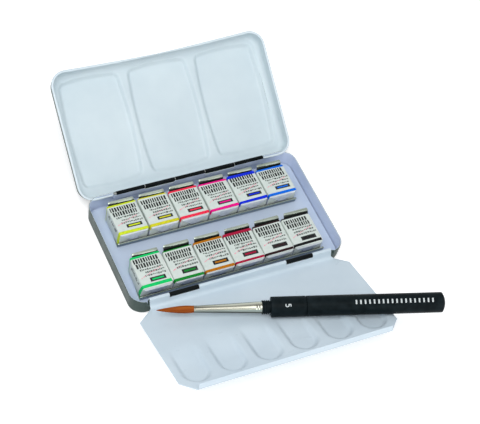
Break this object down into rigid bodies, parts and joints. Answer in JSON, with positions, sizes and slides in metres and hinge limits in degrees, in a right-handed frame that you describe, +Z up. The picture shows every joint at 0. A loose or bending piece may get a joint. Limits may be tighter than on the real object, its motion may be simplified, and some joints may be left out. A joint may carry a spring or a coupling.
{
  "type": "watercolor pan set",
  "caption": "Pocket watercolor tin, open: hinged lid with mixing wells, fold-out palette leaf with thumb wells, wrapped half pans in spring rails, and a pocket brush.",
  "frame": {"origin": "centre of the flat underside of the base", "axes": "+X along the rows of pans, left to right as the user sits; +Y from the palette leaf to the lid hinge; +Z up"},
  "size_m": [0.1486, 0.1941, 0.0485],
  "materials": {
    "base_lacquer": "black lacquer outside, white inside",
    "lid_lacquer": "white enamel inside, black lacquer outside",
    "leaf_lacquer": "glossy white enamel",
    "liner_lacquer": "white moulded insert",
    "spring_steel": "bare, rolled",
    "hinge_wire": "drawn wire",
    "wrapper_paper": "printed paper, folded",
    "pan_plastic": "moulded",
    "paint_01": "lemon yellow paint, dry cake",
    "paint_02": "golden yellow paint, dry cake",
    "paint_03": "scarlet paint, dry cake",
    "paint_04": "magenta paint, dry cake",
    "paint_05": "ultramarine paint, dry cake",
    "paint_06": "sky blue paint, dry cake",
    "paint_07": "emerald green paint, dry cake",
    "paint_08": "dark green paint, dry cake",
    "paint_09": "ochre paint, dry cake",
    "paint_10": "crimson paint, dry cake",
    "paint_11": "dark brown paint, dry cake",
    "paint_12": "black paint, dry cake",
    "hair": "dense fine hair",
    "ferrule_metal": "nickel plated",
    "brush_black": "glossy black"
  },
  "bodies": {
    "base": {"base_tray": "base_lacquer", "floor_liner": "liner_lacquer", "rear_clip_rail": "spring_steel", "front_clip_rail": "spring_steel", "rear_hinge_pin": "hinge_wire", "front_hinge_pin": "hinge_wire"},
    "lid": {"lid": "lid_lacquer"},
    "leaf": {"palette_leaf": "leaf_lacquer"},
    "pan_01": {"wrapper_01": "wrapper_paper", "half_pan_01": "pan_plastic", "paint_01": "paint_01"},
    "pan_02": {"wrapper_02": "wrapper_paper", "half_pan_02": "pan_plastic", "paint_02": "paint_02"},
    "pan_03": {"wrapper_03": "wrapper_paper", "half_pan_03": "pan_plastic", "paint_03": "paint_03"},
    "pan_04": {"wrapper_04": "wrapper_paper", "half_pan_04": "pan_plastic", "paint_04": "paint_04"},
    "pan_05": {"wrapper_05": "wrapper_paper", "half_pan_05": "pan_plastic", "paint_05": "paint_05"},
    "pan_06": {"wrapper_06": "wrapper_paper", "half_pan_06": "pan_plastic", "paint_06": "paint_06"},
    "pan_07": {"wrapper_07": "wrapper_paper", "half_pan_07": "pan_plastic", "paint_07": "paint_07"},
    "pan_08": {"wrapper_08": "wrapper_paper", "half_pan_08": "pan_plastic", "paint_08": "paint_08"},
    "pan_09": {"wrapper_09": "wrapper_paper", "half_pan_09": "pan_plastic", "paint_09": "paint_09"},
    "pan_10": {"wrapper_10": "wrapper_paper", "half_pan_10": "pan_plastic", "paint_10": "paint_10"},
    "pan_11": {"wrapper_11": "wrapper_paper", "half_pan_11": "pan_plastic", "paint_11": "paint_11"},
    "pan_12": {"wrapper_12": "wrapper_paper", "half_pan_12": "pan_plastic", "paint_12": "paint_12"},
    "brush": {"brush_hair": "hair", "brush_ferrule": "ferrule_metal", "brush_collar": "brush_black", "brush_grip": "brush_black"},
    "brush_cap": {"brush_tube": "brush_black"}
  },
  "joints": [
    {"name": "lid_hinge", "type": "hinge", "parent": "base", "child": "lid", "pos_m": [0, 0.0343, 0.01055], "axis": [-1, 0, 0], "range_deg": [-147, 0]},
    {"name": "leaf_hinge", "type": "hinge", "parent": "base", "child": "leaf", "pos_m": [0, -0.0337, 0.0094], "axis": [1, 0, 0], "range_deg": [-163, 0]},
    {"name": "pan_01_lift", "type": "slide", "parent": "base", "child": "pan_01", "axis": [0, 0, 1], "range_m": [0, 0.03]},
    {"name": "pan_02_lift", "type": "slide", "parent": "base", "child": "pan_02", "axis": [0, 0, 1], "range_m": [0, 0.03]},
    {"name": "pan_03_lift", "type": "slide", "parent": "base", "child": "pan_03", "axis": [0, 0, 1], "range_m": [0, 0.03]},
    {"name": "pan_04_lift", "type": "slide", "parent": "base", "child": "pan_04", "axis": [0, 0, 1], "range_m": [0, 0.03]},
    {"name": "pan_05_lift", "type": "slide", "parent": "base", "child": "pan_05", "axis": [0, 0, 1], "range_m": [0, 0.03]},
    {"name": "pan_06_lift", "type": "slide", "parent": "base", "child": "pan_06", "axis": [0, 0, 1], "range_m": [0, 0.03]},
    {"name": "pan_07_lift", "type": "slide", "parent": "base", "child": "pan_07", "axis": [0, 0, 1], "range_m": [0, 0.03]},
    {"name": "pan_08_lift", "type": "slide", "parent": "base", "child": "pan_08", "axis": [0, 0, 1], "range_m": [0, 0.03]},
    {"name": "pan_09_lift", "type": "slide", "parent": "base", "child": "pan_09", "axis": [0, 0, 1], "range_m": [0, 0.03]},
    {"name": "pan_10_lift", "type": "slide", "parent": "base", "child": "pan_10", "axis": [0, 0, 1], "range_m": [0, 0.03]},
    {"name": "pan_11_lift", "type": "slide", "parent": "base", "child": "pan_11", "axis": [0, 0, 1], "range_m": [0, 0.03]},
    {"name": "pan_12_lift", "type": "slide", "parent": "base", "child": "pan_12", "axis": [0, 0, 1], "range_m": [0, 0.03]},
    {"name": "brush_lift", "type": "slide", "parent": "base", "child": "brush", "axis": [0, 0, 1], "range_m": [0, 0.257]},
    {"name": "brush_cap_slide", "type": "slide", "parent": "brush", "child": "brush_cap", "axis": [0.9336, -0.3427, 0.1048], "range_m": [0, 0.09]}
  ],
  "couplings": [
    {"joint": "brush_lift", "follows": "leaf_hinge", "m_per_rad": -0.09}
  ]
}
